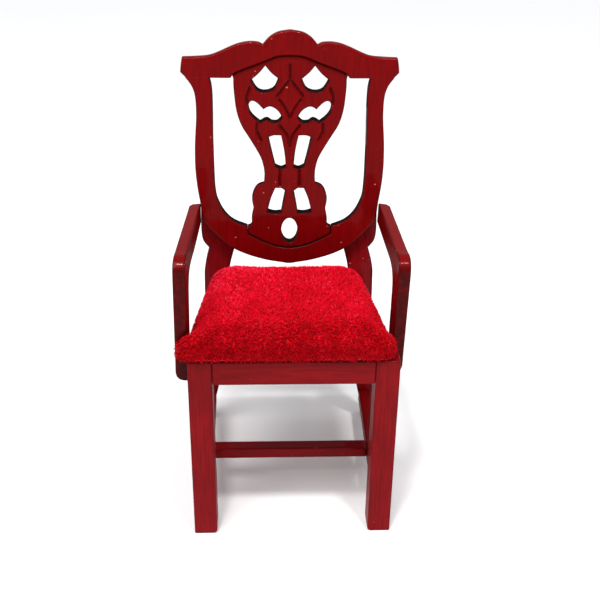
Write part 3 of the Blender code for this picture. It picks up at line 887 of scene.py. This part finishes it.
def plush_pile(padding, neighbours, dyes_and_painted_light):
    """Short tufts all over the cushion, in clumps that lean together, each a thin prism with a point."""
    draw = np.random.default_rng(PILE_SEED)
    roots, normals = pile_roots(padding.data, draw)
    lean = np.array([noise.noise_vector(Vector(root) / CLUMP_SIZE)[:] for root in roots])
    hang = np.clip(1.0 - normals[:, 2:3], 0.0, 1.0) * np.array([[0.0, 0.0, -HANG]])
    direction = unit(normals + CLUMP_LEAN * lean + hang + draw.normal(0.0, STRAY_LEAN, roots.shape))
    height = PILE_HEIGHT * draw.uniform(0.7, 1.3, len(roots))
    tips = roots + direction * height[:, None]
    keep = kept_tufts(tips, neighbours)
    shades = shade_of(roots, normals, draw)
    across_tuft = unit(np.cross(direction, draw.normal(0.0, 1.0, roots.shape)))
    beside_tuft = np.cross(direction, across_tuft)
    width = PILE_HALF_WIDTH * draw.uniform(0.75, 1.25, len(roots))
    turns = [2 * math.pi * i / TUFT_SIDES for i in range(TUFT_SIDES)]
    spokes = np.stack([math.cos(turn) * across_tuft + math.sin(turn) * beside_tuft for turn in turns], 1)
    spokes = spokes * width[:, None, None]
    low = roots[:, None] - ROOT_DEPTH * direction[:, None] + spokes
    bow = lean * height[:, None] * TUFT_BOW
    waist = (roots + direction * height[:, None] * WAIST_HEIGHT + bow)[:, None] + spokes * WAIST_WIDTH
    points = np.concatenate([low, waist, tips[:, None]], 1)
    shape = [(0, 1, 4, 3), (1, 2, 5, 4), (2, 0, 3, 5), (3, 4, 6), (4, 5, 6), (5, 3, 6)]
    corners = points.shape[1]
    cuts = np.quantile(roots[keep, 1], [1 / 3, 2 / 3])
    part_of = np.digitize(roots[:, 1], cuts)
    for number, part in enumerate(PILE_PARTS):
        mine = np.nonzero(keep & (part_of == number))[0]
        faces = [tuple(corners * i + corner for corner in face) for i in range(len(mine)) for face in shape]
        mesh = bpy.data.meshes.new("plush_pile_" + part)
        mesh.from_pydata(points[mine].reshape(-1, 3).tolist(), [], faces)
        # Painted shade deep in the pile: the lower half of each tuft takes the colour one step darker than
        # its tip
        slots = np.stack([np.maximum(shades[mine] - 1, 0)] * 3 + [shades[mine]] * 3, 1)
        for pile_colour in dyes_and_painted_light:
            mesh.materials.append(pile_colour)
        mesh.polygons.foreach_set("material_index", slots.ravel().astype(np.int32))
        mesh.polygons.foreach_set("use_smooth", np.ones(len(faces), bool))
        mesh.update()
        piece = bpy.data.objects.new("plush_pile_" + part, mesh)
        bpy.context.scene.collection.objects.link(piece)
        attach(piece, BODY)


# Floor, light and camera

def studio():
    """A pale floor, a soft sky, a soft key light and two small lamps."""
    bm = bmesh.new()
    bmesh.ops.create_grid(bm, x_segments=8, y_segments=8, size=FLOOR_REACH)
    mesh = bpy.data.meshes.new("studio_floor")
    bm.to_mesh(mesh)
    bm.free()
    mesh.materials.append(floor_paint())
    floor = bpy.data.objects.new("studio_floor", mesh)
    floor.location.z = -FLOOR_DROP
    bpy.context.scene.collection.objects.link(floor)
    sky = bpy.data.worlds.new("soft_sky")
    sky.use_nodes = True
    sky.node_tree.nodes["Background"].inputs["Color"].default_value = (0.97, 0.98, 1.0, 1.0)
    sky.node_tree.nodes["Background"].inputs["Strength"].default_value = SKY_STRENGTH
    bpy.context.scene.world = sky
    data = bpy.data.lights.new("key", "SUN")
    data.energy = SUN_STRENGTH
    data.angle = SUN_SPREAD
    key = bpy.data.objects.new("key", data)
    key.rotation_euler = SUN_RUN.to_track_quat("-Z", "Y").to_euler()
    bpy.context.scene.collection.objects.link(key)
    soft_light("overhead_left", (-0.05, -0.17, 0.46), 0.03, 0.55)
    soft_light("overhead_right", (0.08, -0.16, 0.44), 0.035, 0.75)


def soft_light(name, place, size, power):
    """A small square lamp aimed at the middle of the chair, for glints on the lacquer."""
    data = bpy.data.lights.new(name, "AREA")
    data.size = size
    data.energy = power
    lamp = bpy.data.objects.new(name, data)
    lamp.location = place
    lamp.rotation_euler = (LAMP_AIM - lamp.location).to_track_quat("-Z", "Y").to_euler()
    bpy.context.scene.collection.objects.link(lamp)


def camera():
    """The camera at the photograph's angle."""
    data = bpy.data.cameras.new("camera")
    data.lens = CAMERA_LENS
    data.sensor_width = 36.0
    data.clip_start = 0.01
    data.clip_end = 20.0
    made = bpy.data.objects.new("camera", data)
    turn = Matrix.Rotation(math.radians(-CAMERA_YAW), 4, "Z")
    tilt = Matrix.Rotation(math.radians(90 - CAMERA_PITCH), 4, "X")
    roll = Matrix.Rotation(math.radians(CAMERA_ROLL), 4, "Z")
    made.matrix_world = Matrix.Translation(CAMERA_PLACE) @ turn @ tilt @ roll
    bpy.context.scene.collection.objects.link(made)
    bpy.context.scene.camera = made


def frame_and_arms():
    """Legs, rails, stretchers and arms."""
    upright = lacquer("lacquer_upright", 2, 1.0)
    across = lacquer("lacquer_across", 0, 1.0)
    lengthwise = lacquer("lacquer_lengthwise", 1, 0.6)
    for side in ("left", "right"):
        timber("front_leg_" + side, upright, 0.3)
        timber("back_post_" + side, upright, 0.8)
        timber("side_rail_" + side, lengthwise, 0.4)
        timber("side_stretcher_" + side, lengthwise, 0.6)
        timber("arm_" + side, back_red, 0.8, ARM_FRONT_PAINTED_SHADE)
    for node in ("front_rail", "back_rail", "cross_stretcher"):
        timber(node, across, 0.3)


def carved_back():
    """The three boards of the back."""
    leaning = LeaningBack()
    seam = max(loop[:, 1].max() for loop in outline_loops("shield_frame", leaning)[0])
    woods = (back_red, scorched)
    carved_board("shield_frame", leaning, woods, seam, 0.9, "inner")
    carved_board("crest_rail", leaning, woods, seam, 0.25, "none", arris=CREST_ARRIS)
    carved_board("splat", leaning, woods, 0.0, 1.0, "all", SPLAT_GROOVES)


def seat_board():
    """The board under the cushion: bare on its faces and near-black round its sawn edge."""
    board = frame["nodes"]["seat_board"].data
    board.materials[0] = fibreboard()
    board.materials.append(scorched)
    for face in board.polygons:
        if abs(face.normal.z) < 0.5:
            face.material_index = 1


def seat():
    """The cushion and its pile."""
    neighbours = [(sign, solid_tree(node + side)) for sign, side in ((-1.0, "left"), (1.0, "right"))
                  for node in ("arm_", "back_post_")]
    dyes_and_painted_light = [
        pile("plush_deep", (0.42, 0.0, 0.003), 0.03),
        pile("plush_crimson", (0.66, 0.0, 0.008), 0.05),
        pile("plush_bright", (0.82, 0.001, 0.026), 0.08),
        pile("plush_pale", (0.95, 0.055, 0.120), 0.15),
    ]
    plush_pile(cushion(neighbours), neighbours, dyes_and_painted_light)


# Blender's vector noise otherwise takes its offsets from the clock
noise.seed_set(NOISE_SEED)
camera()
studio()
back_red = lacquer("lacquer_back", 2)
scorched = charred()
frame_and_arms()
carved_back()
seat_board()
seat()
bpy.context.scene.view_settings.view_transform = "Standard"
